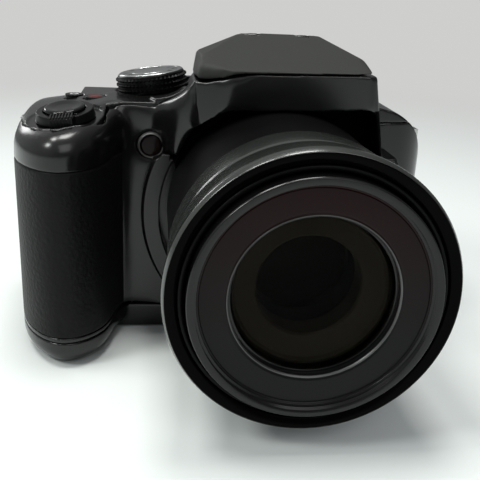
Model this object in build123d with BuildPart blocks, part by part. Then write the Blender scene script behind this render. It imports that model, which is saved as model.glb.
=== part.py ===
from build123d import *
import os
from math import cos, pi, radians, sin, sqrt

os.makedirs("parts", exist_ok=True)

# Bridge camera, in millimetres. The lens looks along -Y, +Z is up and the grip is on the -X side.
# The origin is the mouth of the tripod socket, on the base plane, straight below the lens axis.

# Body, driving sizes
grip_left = -77.7
body_right = 52.5
rear_y = 14.5
front_y = -27.0
deck_z = 71.8
grip_front_y = -53.2
wall = 2.0
seam = 0.15
low_seam_z = 7.5
rubber_low_z = 9.0
rubber_high_z = 57.5
rubber_thick = 1.3
crown_fall = 0.16
grip_base_round = 5.5
grip_crown_round = 6.5
grip_lean_z = 46.0
grip_lean = 0.17

# Lens, driving sizes
lens_z = 40.0
lens_front_y = -96.0
flange_y = -93.6
flange_r = 34.8
filter_r = 27.5
name_ring_r = 27.0
front_tube_r = 29.4
rear_tube_r = 31.2
barrel_bore_r = 31.5
collar_r = 40.5
rear_travel = 30.0
front_travel = 32.0

# Hump with the flash and the viewfinder, driving sizes
hump_front_y = -42.0
hump_top_z = 91.8
lid_rear_y = -16.0
rear_seam_y = 6.0
top_seam_z = 66.5
grip_seam_z = 62.5
flank_low_z = 56.5
flash_axis_z = 90.6
flash_pin_r = 0.7

# Controls, driving sizes
dial_x, dial_y, dial_r = -37.6, -2.0, 11.3
trough_x, trough_y, trough_z = -61.0, -34.5, 68.9
shutter_tilt = Vector(-0.1, -0.15, 1)
shutter_r = 5.6
run_gap = 0.05
move_gap = 0.35


def save(piece, name):
    piece.label = name
    export_step(piece, f"parts/{name}.step")


def turned(points):
    """A solid turned about the lens axis from points of (y, radius)."""
    with BuildPart(mode=Mode.PRIVATE) as ring:
        with BuildSketch(Plane.YZ):
            with BuildLine():
                Polyline([(y, lens_z + r) for y, r in points], close=True)
            make_face()
        revolve(axis=Axis((0, 0, lens_z), (0, 1, 0)))
    return ring.part


def outline_face(curves, inset):
    """Face inside joined curves; an inset one is drawn with short straight sides."""
    points = []
    for curve in curves:
        steps = 1 if curve.geom_type == GeomType.LINE else 12
        points += [curve @ (step / steps) for step in range(steps)]
    with BuildSketch(mode=Mode.PRIVATE) as face:
        with BuildLine():
            if inset:
                Polyline(*points, close=True)
            else:
                add(curves)
        make_face()
        if inset:
            offset(amount=-inset, kind=Kind.INTERSECTION)
    return face.sketch


# Grip plan: the side, the nose under the fingers and the inner side down to the body front
def grip_plan(inset):
    with BuildLine(mode=Mode.PRIVATE) as line:
        back = Line((-40, rear_y), (grip_left + 8, rear_y))
        corner = TangentArc((grip_left + 8, rear_y), (grip_left, rear_y - 8), tangent=(-1, 0))
        side = Line((grip_left, rear_y - 8), (grip_left, -12))
        nose = Spline(
            (grip_left, -12), (-76.6, -30), (-72.4, -44), (-61.5, grip_front_y), (-52.3, -47.4),
            (-48.6, -37), (-45.5, -28), (-40, -24), tangents=((0, -1), (1, 0.4)),
        )
        inner = Line((-40, -24), (-40, rear_y))
    return outline_face([back, corner, side, nose, inner], inset)


def grip_form(inset):
    """Grip: crowned from front to back, falling to the left, filleted all round outside."""
    drop = inset * 1.6 + crown_fall * (90 + trough_x)
    with BuildPart(mode=Mode.PRIVATE) as form:
        add(grip_plan(inset))
        extrude(amount=80)
        with BuildSketch(Plane.YZ.offset(-90)):
            with BuildLine():
                Spline(
                    (-60, 64.6 - drop), (-46, 67.9 - drop), (-34.5, 69.4 - drop), (-20, 70.2 - drop),
                    (0, 69.4 - drop), (20, 66.8 - drop),
                )
                Polyline((20, 66.8 - drop), (20, -30), (-60, -30), (-60, 64.6 - drop))
            make_face()
        extrude(amount=60, dir=(1, 0, crown_fall), mode=Mode.INTERSECT)
        if inset:
            split(bisect_by=Plane(origin=(0, 0, inset * 1.4)), keep=Keep.TOP)
            split(bisect_by=Plane(origin=(0, 0, deck_z - inset)), keep=Keep.BOTTOM)
        else:
            rim = form.edges().filter_by(lambda e: e.center().X < -41)
            fillet(rim.filter_by(lambda e: e.center().Z < 1), grip_base_round)
            rim = form.edges().filter_by(lambda e: e.center().X < -41)
            fillet(rim.filter_by(lambda e: e.center().Z > 60), grip_crown_round)
            split(bisect_by=Plane(origin=(0, 0, deck_z)), keep=Keep.BOTTOM)
            lean = Plane(origin=(grip_left, 0, grip_lean_z), z_dir=(-1, 0, grip_lean))
            split(bisect_by=lean, keep=Keep.BOTTOM)
    return form.part


def trunk_form(inset):
    """Main body between the grip and the sloping right shoulder."""
    drop = inset * 1.2
    with BuildPart(mode=Mode.PRIVATE) as form:
        with BuildLine(mode=Mode.PRIVATE) as line:
            base = Line((-60, 0), (45, 0))
            corner = TangentArc((45, 0), (51.8, 7), tangent=(1, 0))
            side = Line((51.8, 7), (body_right, 45))
            shoulder = Spline(
                (body_right, 45), (51.7, 53.0), (49.6, 59.2), (45.8, 64.8), (41.0, 68.4), (35.5, 70.5),
                tangents=((0, 1), (-1, 0.22)),
            )
            deck = Polyline((35.5, 70.5), (30, deck_z), (-46, deck_z), (-60, 70.6), (-60, 0))
        with BuildSketch(Plane.XZ.offset(-rear_y + inset)):
            add(outline_face([base, corner, side, shoulder, *deck.edges()], inset))
        extrude(amount=rear_y - front_y - 2 * inset)
        with BuildLine(mode=Mode.PRIVATE) as line:
            back = Line((-60, rear_y), (41, rear_y))
            rear_corner = Spline(
                (41, rear_y), (47.0, 12.0), (50.4, 7.0), (body_right, -3), tangents=((1, 0), (0, -1)),
            )
            front_corner = TangentArc((body_right, -3), (35.5, -20), tangent=(0, -1))
            front = Polyline((35.5, -20), (24, -21.5), (14, front_y), (-60, front_y), (-60, rear_y))
        with BuildSketch():
            add(outline_face([back, rear_corner, front_corner, *front.edges()], inset))
        extrude(amount=80, mode=Mode.INTERSECT)
        with BuildSketch(Plane.YZ.offset(-70)):
            with BuildLine():
                Spline((-30, deck_z + 0.4 - drop), (-8, deck_z - drop), (6, 71 - drop), (16, 68.9 - drop))
                Polyline((16, 68.9 - drop), (16, 0), (-30, 0), (-30, deck_z + 0.4 - drop))
            make_face()
        extrude(amount=130, mode=Mode.INTERSECT)
    return form.part


hump_front_points = [
    (-25.2, 40), (34, 40), (31.6, 56), (29.8, 62), (27.6, 72), (25, 83.6), (23.8, 86.2),
    (12.2, hump_top_z), (-12, hump_top_z - 0.4), (-23.8, 86.4), (-25.2, 80.6),
]


def hump_form():
    """Hump over the lens: the flash part in front, and the finder part that narrows to the rear."""
    with BuildPart(mode=Mode.PRIVATE) as form:
        with BuildSketch(Plane.XZ.offset(-rear_y)):
            with BuildLine():
                Polyline(hump_front_points, close=True)
            make_face()
        extrude(amount=rear_y - hump_front_y)
        with BuildSketch(Plane.YZ.offset(-40)):
            with BuildLine():
                Polyline(
                    (rear_y, 40), (rear_y, 87), (lid_rear_y, hump_top_z), (hump_front_y, 83.6),
                    (hump_front_y + 0.8, 72), (hump_front_y + 1, 40), close=True,
                )
            make_face()
        extrude(amount=80, mode=Mode.INTERSECT)
        with BuildSketch():
            with BuildLine():
                Polyline(
                    (-13, -43), (21.5, -43), (31.5, -36), (40, -22), (40, lid_rear_y), (27.5, lid_rear_y),
                    (18.5, rear_y), (-18.5, rear_y), (-25.2, lid_rear_y), (-30, -35.7), close=True,
                )
            make_face()
        extrude(amount=100, mode=Mode.INTERSECT)
        left = (Vector(-23.8, lid_rear_y, 86.4), Vector(-12, lid_rear_y, 91.4), Vector(-17.3, rear_y, 82.4))
        right = (Vector(12.2, lid_rear_y, 91.8), Vector(23.8, lid_rear_y, 86.2), Vector(17.2, rear_y, 82))
        for first, second, third in (left, right):
            upward = (second - first).cross(third - first)
            split(bisect_by=Plane(origin=first, z_dir=upward), keep=Keep.BOTTOM)
    return form.part


def flank_form(inset):
    """Slanted flank between the finder tower and the grip side of the body front."""
    with BuildPart(mode=Mode.PRIVATE) as form:
        with BuildSketch():
            with BuildLine():
                Polyline(
                    (-13, hump_front_y + 1), (-31.5, -33.5), (-35.5, -28), (-38, -20), (-13, -20),
                    (-13, hump_front_y + 1),
                )
            make_face()
            if inset:
                offset(amount=-inset)
        extrude(amount=90)
        with BuildLine(mode=Mode.PRIVATE) as line:
            edge = Polyline((-13, flank_low_z), (-13, 83.2), (-25.2, 80.6))
            fall = Spline((-25.2, 80.6), (-28.5, 75.8), (-39, 72.6), tangents=((-0.5, -1), (-1, -0.1)))
            side = Polyline((-39, 72.6), (-39, flank_low_z), (-13, flank_low_z))
        with BuildSketch(Plane.XZ):
            add(outline_face([*edge.edges(), fall, *side.edges()], inset))
        extrude(amount=60, mode=Mode.INTERSECT)
    return form.part


def arch_cut(grow, depth):
    """Recess under the hump that the barrel passes through, grown sideways for its own wall."""
    with BuildPart(mode=Mode.PRIVATE) as cut:
        with BuildLine(mode=Mode.PRIVATE) as line:
            left = Line((-31.5, 30), (-29.9, 54.5))
            rise = Spline(
                (-29.9, 54.5), (-27.6, 61.2), (-23.9, 67.4), (-19, 71), (-14, 72.4),
                tangents=((0.2, 1), (1, 0.1)),
            )
            top = Line((-14, 72.4), (21.6, 73.6))
            fall = Spline((21.6, 73.6), (25.2, 72.7), (26.4, 70), tangents=((1, 0), (0.1, -1)))
            right = Polyline((26.4, 70), (28.6, 61), (30.2, 55), (31.5, 30), (-31.5, 30))
        with BuildSketch(Plane.XZ.offset(-front_y - depth)):
            add(outline_face([left, rise, top, fall, *right.edges()], -grow))
        extrude(amount=30 + depth)
    return cut.part


def hump_hollow():
    """Hollow of the hump, in two straight blocks so that the tapering walls keep their thickness."""
    with BuildPart(mode=Mode.PRIVATE) as form:
        with BuildSketch(Plane.XZ.offset(-lid_rear_y)):
            with BuildLine():
                Polyline(hump_front_points, close=True)
            make_face()
            offset(amount=-wall)
        extrude(amount=lid_rear_y - hump_front_y - wall)
        with BuildSketch():
            with BuildLine():
                Polyline(
                    (-13.5, -40), (20.8, -40), (29.5, -33.8), (36, -22), (36, -10), (-27, -10),
                    (-27, -34), close=True,
                )
            make_face()
        extrude(amount=100, mode=Mode.INTERSECT)
        with BuildSketch(Plane.YZ.offset(-40)):
            with BuildLine():
                Polyline(
                    (-10, 40), (-10, 89.6), (lid_rear_y - 1.6, 89.6), (-40, 81.6), (-39.2, 70), (-39, 40),
                    close=True,
                )
            make_face()
        extrude(amount=80, mode=Mode.INTERSECT)
        with BuildSketch(Plane.XZ.offset(-rear_y + wall)):
            with BuildLine():
                Polyline(
                    (-16.3, 62), (16.3, 62), (16.3, 77), (15.6, 80.4), (7.6, 84.6), (-8, 84.6),
                    (-15.2, 80.8), (-16.3, 77), close=True,
                )
            make_face()
        extrude(amount=rear_y - wall - lid_rear_y + 2)
    return form.part


with BuildPart() as outer_form:
    add(trunk_form(0))
    add(grip_form(0))
    add(hump_form())
    add(flank_form(0))

with BuildPart() as hollow_form:
    add(trunk_form(wall))
    add(grip_form(wall + rubber_thick))
    add(hump_hollow())
    add(flank_form(wall))
    add(arch_cut(1.5, 1.9), mode=Mode.SUBTRACT)

with BuildPart() as shell_form:
    add(outer_form.part)
    add(hollow_form.part, mode=Mode.SUBTRACT)
    add(arch_cut(0, 0), mode=Mode.SUBTRACT)


def block(x, y, z):
    """A box between two values on each axis."""
    with BuildPart(mode=Mode.PRIVATE) as piece:
        with BuildSketch(Plane.XY.offset(z[0])):
            with BuildLine():
                Polyline((x[0], y[0]), (x[1], y[0]), (x[1], y[1]), (x[0], y[1]), close=True)
            make_face()
        extrude(amount=z[1] - z[0])
    return piece.part


def rod(start, direction, radius, length):
    """A round bar from a point along a direction."""
    with BuildPart(mode=Mode.PRIVATE) as piece:
        with BuildSketch(Plane(origin=start, z_dir=direction)):
            Circle(radius)
        extrude(amount=length)
    return piece.part


# Where each shell piece lies; the seams between pieces of the body are fixed, narrow gaps
gap = seam / 2
below_seam = block((-90, 60), (-60, 20), (-1, low_seam_z - gap))
with BuildPart() as rear_region:
    add(block((-90, -48 - seam), (rear_seam_y + gap, 20), (low_seam_z + gap, 76)))
    add(block((-49, 60), (rear_seam_y + gap, 20), (low_seam_z + gap, top_seam_z - gap)))
grip_top_points = [
    (-46, -25.85), (-50.2, -27.4), (-50.6, -34), (-52.0, -40), (-55.4, -44.6), (-61.4, -46.9),
    (-67.6, -44.4), (-72, -37), (-74, -27), (-75.3, -12), (-75.3, 5), (-73, 10), (-68, 12.3), (-46, 12.3),
]


def grip_top(low, grow):
    """The part of the grip that the top cover closes, inside its S-shaped edge."""
    with BuildPart(mode=Mode.PRIVATE) as piece:
        with BuildSketch(Plane.XY.offset(low)):
            with BuildLine():
                Polyline(*grip_top_points, close=True)
            make_face()
            if grow:
                offset(amount=grow, kind=Kind.INTERSECTION)
        extrude(amount=95 - low)
    return piece.part


with BuildPart() as top_region:
    add(grip_top(grip_seam_z + gap, 0))
    add(block((-48, 60), (-25.85, 20), (top_seam_z + gap, 76)))
    add(block((-48, 60), (lid_rear_y, 20), (top_seam_z + gap, 95)))
with BuildPart() as lid_region:
    with BuildSketch(Plane.XZ.offset(-lid_rear_y)):
        with BuildLine():
            Polyline(
                (-30, 80.8), (-22.8, 80.2), (-19, 81.2), (-15, 82.6), (-11.5, 83), (30, 83.8), (30, 95),
                (-30, 95), close=True,
            )
        make_face()
    extrude(amount=40)
with BuildPart() as lid_gap_region:
    with BuildSketch(Plane.XZ.offset(-lid_rear_y)):
        with BuildLine():
            Polyline(
                (-30, 80.4), (-22.8, 79.8), (-19, 80.8), (-15, 82.2), (-11.5, 82.6), (30, 83.4), (30, 95),
                (-30, 95), close=True,
            )
        make_face()
    extrude(amount=40)

# Skin of the grip that is covered with rubber
with BuildPart() as grip_rubber:
    add(outer_form.part)
    add(block((-90, -46), (-60, -11), (rubber_low_z, rubber_high_z)), mode=Mode.INTERSECT)
    add(grip_form(rubber_thick), mode=Mode.SUBTRACT)
    add(trunk_form(0), mode=Mode.SUBTRACT)
save(grip_rubber.part, "grip_rubber")

# Doors and covers: a plate with a rolled edge round its pin
door_x, door_y, door_thick = (-70.3, -45.1), (-25.0, 9.0), 1.8
door_pin_r = 0.45
socket_y, socket_z, socket_thick = (-9.5, 4.2), (22.0, 50.0), 1.6

with BuildPart() as battery_door:
    add(block(door_x, door_y, (0, door_thick)))
    add(rod((door_x[1], door_y[0], 0.9), (0, 1, 0), 0.9, door_y[1] - door_y[0]))
    add(rod((door_x[1], -30, 0.9), (0, 1, 0), door_pin_r + run_gap, 45), mode=Mode.SUBTRACT)
save(battery_door.part, "battery_door")

with BuildPart() as socket_door:
    add(block((grip_left, grip_left + socket_thick), (socket_y[0], socket_y[1]), socket_z))
    add(rod((grip_left + 0.8, socket_y[1], socket_z[0]), (0, 0, 1), 0.8, socket_z[1] - socket_z[0]))
    add(rod((grip_left + 0.8, socket_y[1], 10), (0, 0, 1), door_pin_r + run_gap, 50), mode=Mode.SUBTRACT)
save(socket_door.part, "socket_door")

with BuildPart() as door_pins:
    add(rod((door_x[1], door_y[0] - 1.5, 0.9), (0, 1, 0), door_pin_r, door_y[1] - door_y[0] + 3))
    add(rod((grip_left + 0.8, socket_y[1], socket_z[0] - 1.5), (0, 0, 1), door_pin_r, 31))
save(door_pins.part, "door_pins")

# Bottom cover, with the opening of the battery door and the screw seats
screw_spots = [(42, 4), (40, -16), (-36, 8), (-30, -20)]
with BuildPart() as bottom_cover:
    add(shell_form.part)
    add(below_seam, mode=Mode.INTERSECT)
    add(block((door_x[0] - 0.35, door_x[1] + 1.25), (door_y[0] - 0.35, door_y[1] + 0.35), (-1, 9)), mode=Mode.SUBTRACT)
    add(door_pins.part, mode=Mode.SUBTRACT)
    add(rod((0, 0, -1), (0, 0, 1), 5.5, 10), mode=Mode.SUBTRACT)
    for x, y in screw_spots:
        add(rod((x, y, -1), (0, 0, 1), 2.0, 2.0), mode=Mode.SUBTRACT)
    add(block((-38.2, -33.8), (-14.35, -8.35), (-1, 9)), mode=Mode.SUBTRACT)
save(bottom_cover.part, "bottom_cover")

with BuildPart() as bottom_screws:
    for x, y in screw_spots:
        add(rod((x, y, 0.3), (0, 0, 1), 1.9, 0.7))
save(bottom_screws.part, "bottom_screws")

with BuildPart() as door_latch:
    add(block((-37.8, -34.2), (-14.0, -11.0), (0, 1.6)))
save(door_latch.part, "door_latch")

with BuildPart() as tripod_socket:
    add(rod((0, 0, 0), (0, 0, 1), 5.5, 6.5))
    add(rod((0, 0, -1), (0, 0, 1), 3.175, 6.5), mode=Mode.SUBTRACT)
save(tripod_socket.part, "tripod_socket")

# The shutter group lies on a tilted plane, in a trough of the top cover
shutter_origin = (trough_x, trough_y, trough_z - 0.7)
shutter_plane = Plane(origin=shutter_origin, x_dir=(1, 0, 0.1), z_dir=shutter_tilt)


def tilted(radius, low, high):
    """A disc round the shutter axis between two heights over the floor of its trough."""
    with BuildPart(mode=Mode.PRIVATE) as piece:
        with BuildSketch(shutter_plane.offset(low)):
            Circle(radius)
        extrude(amount=high - low)
    return piece.part


# Front housing, with the seat of the lens, the focus lamp and the pocket of the socket door
lamp = (-37.5, -24.5, 59.5)
with BuildPart() as front_housing:
    add(shell_form.part)
    add(below_seam, mode=Mode.SUBTRACT)
    add(block((-90, 60), (-60, 20), (-1, low_seam_z + gap)), mode=Mode.SUBTRACT)
    add(block((-90, 60), (rear_seam_y - gap, 20), (-1, 77)), mode=Mode.SUBTRACT)
    add(grip_top(grip_seam_z - gap, seam), mode=Mode.SUBTRACT)
    add(block((-48, 60), (-26.0, 20), (top_seam_z - gap, 77)), mode=Mode.SUBTRACT)
    add(block((-48, 60), (lid_rear_y - gap, 20), (top_seam_z - gap, 95)), mode=Mode.SUBTRACT)
    add(lid_gap_region.part, mode=Mode.SUBTRACT)
    add(grip_rubber.part, mode=Mode.SUBTRACT)
    add(tilted(10.9, -1.75, 12), mode=Mode.SUBTRACT)
    add(rod((0, -60, lens_z), (0, 1, 0), 33.0, 33), mode=Mode.SUBTRACT)
    add(rod((0, -35, lens_z), (0, 1, 0), 28.9, 17), mode=Mode.SUBTRACT)
    add(block((-17.5, 17.5), (-38.2, -18), (75.5, 95)), mode=Mode.SUBTRACT)
    add(rod((lamp[0], -30, lamp[2]), (0, 1, 0), 3.2, 10), mode=Mode.SUBTRACT)
    add(
        block((-80, grip_left + 2), (socket_y[0] - 0.35, socket_y[1] + 1.15), (21.65, 50.35)),
        mode=Mode.SUBTRACT,
    )
    add(door_pins.part, mode=Mode.SUBTRACT)
    for low, high in ((25, 31), (35, 47)):
        add(block((-77, -70), (-7, 2), (low, high)), mode=Mode.SUBTRACT)
    add(rod((54, 2, 55.6), (-1, 0, 0), 1.2, 8), mode=Mode.SUBTRACT)
save(front_housing.part, "front_housing")

with BuildPart() as side_sockets:
    for low, high in ((25, 31), (35, 47)):
        add(block((-75.6, -72.2), (-7, 2), (low, high)))
        add(block((-75.7, -73), (-6.3, 1.3), (low + 0.7, high - 0.7)), mode=Mode.SUBTRACT)
save(side_sockets.part, "side_sockets")

with BuildPart() as lamp_lens:
    add(rod((lamp[0], -28.0, lamp[2]), (0, 1, 0), 3.2, 3))
save(lamp_lens.part, "lamp_lens")

# Collar round the lens, where it stands out of the body
with BuildPart() as lens_collar:
    add(turned([(-33, 35), (-33, 39.6), (-32.2, collar_r), (-19, collar_r), (-19, 33), (-27, 33), (-27, 35)]))
    add(block((-60, 60), (-40, -10), (1.0, 58)), mode=Mode.INTERSECT)
    add(outer_form.part, mode=Mode.SUBTRACT)
    add(rod((lamp[0], -40, lamp[2]), (0, 1, 0), 3.3, 20), mode=Mode.SUBTRACT)
save(lens_collar.part, "lens_collar")

# Controls on top, with the mode dial on a plinth that leans to the grip
dial_lean = 0.136
dial_plane = Plane(origin=(dial_x, dial_y, 75.0), x_dir=(1, 0, dial_lean), z_dir=(-dial_lean, 0, 1))


def on_dial(radius, low, high):
    """A disc round the mode dial's axis between two heights over the dial's middle."""
    with BuildPart(mode=Mode.PRIVATE) as disc:
        with BuildSketch(dial_plane.offset(low)):
            Circle(radius)
        extrude(amount=high - low)
    return disc.part


movie_spot, movie_r = (-54.6, -15.0), 3.2
burst_spot, burst_r = (-61.5, -8.0), 2.8
rear_dial_x, rear_dial_y, rear_dial_r = -58.0, 7.2, 8.5
hinge_start = (-12, lid_rear_y, flash_axis_z)

with BuildPart() as top_cover:
    add(shell_form.part)
    add(top_region.part, mode=Mode.INTERSECT)
    add(block((-30, 30), (-60, lid_rear_y + 0.35), (76.2, 95)), mode=Mode.SUBTRACT)
    add(rod((0, -35, lens_z), (0, 1, 0), 28.95, 20), mode=Mode.SUBTRACT)
    add(tilted(10.7, 0, 12), mode=Mode.SUBTRACT)
    add(tilted(9.6, -1.6, 0))
    add(tilted(5.9, 0, 0.8))
    add(tilted(2.85, -7, 3), mode=Mode.SUBTRACT)
    add(rod((*movie_spot, 60), (0, 0, 1), movie_r + 0.35, 20), mode=Mode.SUBTRACT)
    add(rod((*burst_spot, 60), (0, 0, 1), burst_r + 0.35, 20), mode=Mode.SUBTRACT)
    add(on_dial(10.4, -6.5, -3.15))
    add(on_dial(12.0, -3.15, 9), mode=Mode.SUBTRACT)
    add(on_dial(3.0 + run_gap, -14, 6), mode=Mode.SUBTRACT)
    add(block((-26.6, -24.0), (3.6, 9.7), (60, 75)), mode=Mode.SUBTRACT)
    add(rod((rear_dial_x, rear_dial_y, 56.4), (0, 0, 1), 1.5, 10))
    add(block((-16.0, 16.0), (12, 16), (68, 80)), mode=Mode.SUBTRACT)
    add(rod((16.5, 8.5, 75.5), (1, 0, 0), 4.6, 5.2))
    add(rod((16, 8.5, 75.5), (1, 0, 0), 1.5 + run_gap, 10), mode=Mode.SUBTRACT)
    add(rod((20, -10, 77.5), (1, 0, 0), 2.75, 10), mode=Mode.SUBTRACT)
    add(rod((-30, lid_rear_y, flash_axis_z), (1, 0, 0), 1.8, 60), mode=Mode.SUBTRACT)
    for side in (-1, 1):
        add(rod((side * 5.9, lid_rear_y, flash_axis_z), (side, 0, 0), 1.15, 3.3))
        low, high = sorted((side * 5.9, side * 9.2))
        add(block((low, high), (lid_rear_y, lid_rear_y + 2.4), (89.4, 90.9)))
        add(rod((side * 7, -8, 84), (0, 0, 1), 1.4, 8), mode=Mode.SUBTRACT)
    add(rod(hinge_start, (1, 0, 0), flash_pin_r, 24), mode=Mode.SUBTRACT)
save(top_cover.part, "top_cover")

with BuildPart() as microphones:
    for side in (-1, 1):
        add(rod((side * 7, -8, 88.3), (0, 0, 1), 1.4, 1.9))
save(microphones.part, "microphones")

with BuildPart() as shutter_button:
    add(tilted(shutter_r, 2.7, 3.8))
    add(tilted(2.5, -2.6, 2.7))
save(shutter_button.part, "shutter_button")

with BuildPart() as zoom_lever:
    with BuildSketch(shutter_plane.offset(0.35)):
        Circle(8.3)
    extrude(amount=2.4, taper=12)
    with BuildSketch(shutter_plane.offset(0.35)):
        with BuildLine():
            Polyline((-3.4, -7), (3.4, -7), (3.0, -10.3), (-3.0, -10.3), close=True)
        make_face()
    extrude(amount=2.9)
    add(tilted(5.9 + run_gap, -1, 9), mode=Mode.SUBTRACT)
save(zoom_lever.part, "zoom_lever")

with BuildPart() as movie_button:
    add(rod((*movie_spot, 66.5), (0, 0, 1), movie_r, 5.0))
save(movie_button.part, "movie_button")

with BuildPart() as burst_button:
    add(rod((*burst_spot, 66.0), (0, 0, 1), burst_r, 4.9))
save(burst_button.part, "burst_button")

with BuildPart() as power_switch:
    add(block((-27.4, -23.0), (3.6, 7.0), (72.1, 75.6)))
    add(block((-26.2, -24.4), (4.0, 6.2), (67, 72.1)))
save(power_switch.part, "power_switch")

with BuildPart() as mode_dial:
    add(on_dial(dial_r, -2.85, 2.75))
    add(on_dial(3.0, -8.5, -2.0))
save(mode_dial.part, "mode_dial")

with BuildPart() as mode_dial_cap:
    add(on_dial(10.2, 2.75, 3.05))
save(mode_dial_cap.part, "mode_dial_cap")

with BuildPart() as rear_dial:
    add(rod((rear_dial_x, rear_dial_y, 57.2), (0, 0, 1), rear_dial_r, 3.5))
    add(rod((rear_dial_x, rear_dial_y, 56), (0, 0, 1), 1.5 + run_gap, 6), mode=Mode.SUBTRACT)
save(rear_dial.part, "rear_dial")

with BuildPart() as diopter_dial:
    add(rod((22.1, 8.5, 75.5), (1, 0, 0), 4.4, 2.0))
    add(rod((15, 8.5, 75.5), (1, 0, 0), 1.5, 8))
save(diopter_dial.part, "diopter_dial")

with BuildPart() as flash_button:
    add(rod((21.0, -10, 77.5), (1, 0, 0), 2.4, 4.8))
save(flash_button.part, "flash_button")

# Flash that lifts about its pin
with BuildPart() as lamp_house:
    with BuildSketch(Plane.YZ.offset(-16)):
        with BuildLine():
            Polyline(
                (-22, 90.8), (-22, 77.2), (-30.5, 77.2), (-37.2, 83.6), (-37.2, 84.2), close=True,
            )
        make_face()
    extrude(amount=32)
    add(outer_form.part, mode=Mode.INTERSECT)

with BuildPart() as flash_lid:
    add(outer_form.part)
    add(lid_region.part, mode=Mode.INTERSECT)
    add(hump_hollow(), mode=Mode.SUBTRACT)
    add(lamp_house.part)
    add(rod((-5.5, lid_rear_y, flash_axis_z), (1, 0, 0), 1.2, 11))
    for side in (-1, 1):
        add(rod((side * 5.55, lid_rear_y, flash_axis_z), (side, 0, 0), 1.5, 4.0), mode=Mode.SUBTRACT)
    add(rod(hinge_start, (1, 0, 0), flash_pin_r + run_gap, 24), mode=Mode.SUBTRACT)
    with BuildSketch(Plane(origin=(0, -33.85, 80.4), x_dir=(1, 0, 0), z_dir=(0, -0.69, -0.72))):
        Rectangle(24, 7)
    extrude(amount=-1.0, mode=Mode.SUBTRACT)
    with BuildSketch(Plane(origin=(0, -33.85, 80.4), x_dir=(1, 0, 0), z_dir=(0, -0.69, -0.72))):
        Rectangle(21, 5)
    extrude(amount=-3.6, mode=Mode.SUBTRACT)
save(flash_lid.part, "flash_lid")

with BuildPart() as flash_window:
    with BuildSketch(Plane(origin=(0, -33.85, 80.4), x_dir=(1, 0, 0), z_dir=(0, -0.69, -0.72))):
        Rectangle(24, 7)
    extrude(amount=-1.0)
save(flash_window.part, "flash_window")

with BuildPart() as flash_tube:
    add(rod((-10.5, -31.9, 82.0), (1, 0, 0), 0.9, 21))
save(flash_tube.part, "flash_tube")

with BuildPart() as flash_pin:
    add(rod((-9.2, lid_rear_y, flash_axis_z), (1, 0, 0), flash_pin_r, 18.4))
save(flash_pin.part, "flash_pin")

# Rear cover with the screen opening and the holes of the buttons
screen_x, screen_z = (-29.0, 43.0), (11.0, 61.5)
rear_buttons = [
    ("finder_button", -36.0, 56.8, 2.4, 1.0), ("lock_button", -44.0, 56.8, 2.4, 1.0),
    ("playback_button", -38.0, 45.0, 2.4, 0.8), ("display_button", -37.5, 15.0, 2.4, 0.8),
    ("menu_button", -62.0, 15.0, 2.4, 0.8),
]
pad_x, pad_z, pad_r, set_r = -50.0, 30.0, 8.5, 3.6

with BuildPart() as rear_cover:
    add(shell_form.part)
    add(rear_region.part, mode=Mode.INTERSECT)
    add(grip_top(grip_seam_z - gap, seam), mode=Mode.SUBTRACT)
    add(block(screen_x, (10, 20), screen_z), mode=Mode.SUBTRACT)
    for name, x, z, radius, proud in rear_buttons:
        add(rod((x, 9, z), (0, 1, 0), radius + 0.35, 10), mode=Mode.SUBTRACT)
    add(rod((pad_x, 9, pad_z), (0, 1, 0), pad_r + 0.35, 10), mode=Mode.SUBTRACT)
    add(block((-68, -48), (5, 20), (56.8, 61.1)), mode=Mode.SUBTRACT)
    add(block((-70.0, -60.5), (13.9, 20), (34, 54)), mode=Mode.SUBTRACT)
save(rear_cover.part, "rear_cover")

with BuildPart() as thumb_rest:
    add(block((-70.0, -60.5), (13.9, 16.2), (34, 54)))
    with BuildSketch(Plane.YZ.offset(-80)):
        with BuildLine():
            Polyline((16.2, 34), (16.2, 48), (14.6, 34), close=True)
        make_face()
    extrude(amount=30, mode=Mode.SUBTRACT)
save(thumb_rest.part, "thumb_rest")

for name, x, z, radius, proud in rear_buttons:
    with BuildPart() as rear_button:
        add(rod((x, 11.3, z), (0, 1, 0), radius, rear_y - 11.3 + proud))
    save(rear_button.part, name)

with BuildPart() as cursor_pad:
    add(rod((pad_x, 11.3, pad_z), (0, 1, 0), pad_r, rear_y - 11.3 + 0.6))
    add(rod((pad_x, 9, pad_z), (0, 1, 0), set_r + 0.35, 10), mode=Mode.SUBTRACT)
save(cursor_pad.part, "cursor_pad")

with BuildPart() as set_button:
    add(rod((pad_x, 11.3, pad_z), (0, 1, 0), set_r, rear_y - 11.3 + 1.2))
save(set_button.part, "set_button")

with BuildPart() as screen_panel:
    add(block(screen_x, (12.0, rear_y), screen_z))
    add(block((screen_x[0] + 1, screen_x[1] - 1), (rear_y - 0.8, 20), (12, 60.5)), mode=Mode.SUBTRACT)
save(screen_panel.part, "screen_panel")

with BuildPart() as screen_window:
    add(block((screen_x[0] + 1, screen_x[1] - 1), (rear_y - 0.8, rear_y + 0.2), (12, 60.5)))
save(screen_window.part, "screen_window")

# Finder in the rear of the hump
with BuildPart() as finder_unit:
    add(block((-11, 11), (-8, 11.5), (67.5, 80.5)))
    add(block((-9, 9), (-6, 20), (69.5, 78.5)), mode=Mode.SUBTRACT)
save(finder_unit.part, "finder_unit")

with BuildPart() as eyepiece_lens:
    add(block((-16, 16), (12.6, 14.4), (68, 80)))
save(eyepiece_lens.part, "eyepiece_lens")

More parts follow.
